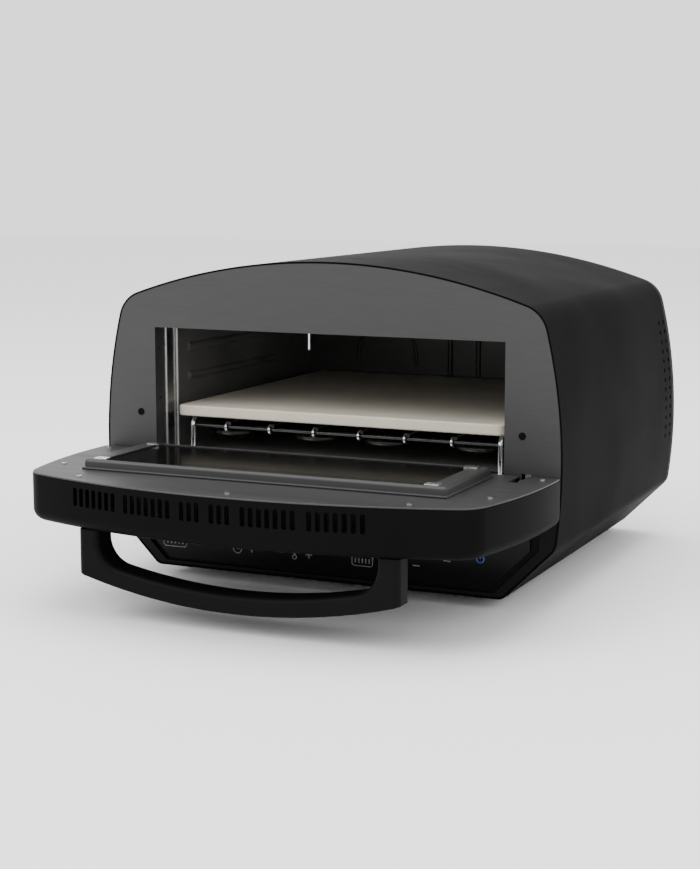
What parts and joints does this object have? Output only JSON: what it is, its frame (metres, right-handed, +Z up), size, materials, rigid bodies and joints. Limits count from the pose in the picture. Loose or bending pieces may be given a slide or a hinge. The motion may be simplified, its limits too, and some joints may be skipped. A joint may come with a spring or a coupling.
{
  "type": "countertop pizza oven",
  "caption": "Arch-topped countertop pizza oven with a drop-down window door, bow handle, baking stone on a wire rack and a touch panel below.",
  "frame": {"origin": "centre of the whole oven's footprint with the door lowered, on the counter under the feet", "axes": "+Z up, +Y from the doorway to the back, +X to the right of someone facing the oven"},
  "size_m": [0.444, 0.58, 0.2945],
  "materials": {
    "black_paint": "satin black stoved paint",
    "dark_steel": "brushed dark grey steel",
    "black_sheet": "matt black paint",
    "black_plastic": "fine matt black",
    "black_glass": "gloss black printed glass",
    "circuit_board": "solder mask",
    "aluminium": "extruded",
    "white_nylon": "natural nylon",
    "wire_sleeve": "heat-resistant sleeve",
    "rubber": "moulded",
    "zinc_steel": "zinc plated",
    "cavity_steel": "heat-dulled steel",
    "bright_steel": "bright",
    "insulation": "needled mineral wool",
    "element_sheath": "heat-darkened steel sheath",
    "chrome_wire": "plated wire",
    "ceramic": "unglazed steatite",
    "baking_stone": "cordierite, fine grain",
    "black_screw": "black oxide",
    "black_shell": "satin black",
    "window_glass": "tinted oven glass",
    "handle_black": "satin black"
  },
  "bodies": {
    "oven": {"outer_wrap": "black_paint", "front_fascia": "dark_steel", "rear_panel": "black_sheet", "base_pan": "black_sheet", "control_bezel": "black_plastic", "panel_carrier": "black_plastic", "control_glass": "black_glass", "touch_board": "circuit_board", "power_board": "circuit_board", "power_heatsink": "aluminium", "board_standoffs": "white_nylon", "terminal_block": "white_nylon", "power_inlet": "black_plastic", "wiring_loom": "wire_sleeve", "rubber_feet": "rubber", "foot_screws": "zinc_steel", "divider_deck": "zinc_steel", "cavity_liner": "cavity_steel", "jamb_trim": "bright_steel", "cavity_back": "cavity_steel", "insulation_wrap": "insulation", "insulation_floor": "insulation", "insulation_rear": "insulation", "upper_element": "element_sheath", "lower_element": "element_sheath", "element_hangers": "chrome_wire", "element_terminals": "ceramic", "temp_probe": "bright_steel", "thermal_cutout": "ceramic", "stone_rack": "chrome_wire", "fan_frame": "black_plastic", "fan_motor": "black_plastic", "fan_screws": "zinc_steel", "hinge_blades": "zinc_steel", "hinge_screws": "zinc_steel", "fascia_bumpers": "rubber", "rear_screws": "black_screw"},
    "door": {"door_shell": "black_shell", "door_inner_panel": "dark_steel", "door_frame": "dark_steel", "inner_glass": "window_glass", "window_tunnel": "dark_steel", "outer_glass": "window_glass", "glass_gasket": "rubber", "glass_clips": "bright_steel", "door_screws": "bright_steel", "door_handle": "handle_black", "handle_screws": "zinc_steel", "hinge_pins": "bright_steel", "hinge_yokes": "zinc_steel", "hinge_springs": "bright_steel"},
    "stone": {"pizza_stone": "baking_stone"},
    "fan_rotor": {"fan_impeller": "black_plastic"}
  },
  "joints": [
    {"name": "door_hinge", "type": "hinge", "parent": "oven", "child": "door", "pos_m": [0, -0.10625, 0.11075], "axis": [-1, 0, 0], "range_deg": [0, 90]},
    {"name": "stone_lift", "type": "slide", "parent": "oven", "child": "stone", "axis": [0, 0, 1], "range_m": [0, 0.03]},
    {"name": "fan_spin", "type": "hinge", "parent": "oven", "child": "fan_rotor", "pos_m": [0.04, 0.27, 0.054], "axis": [0, 1, 0], "continuous": true}
  ]
}
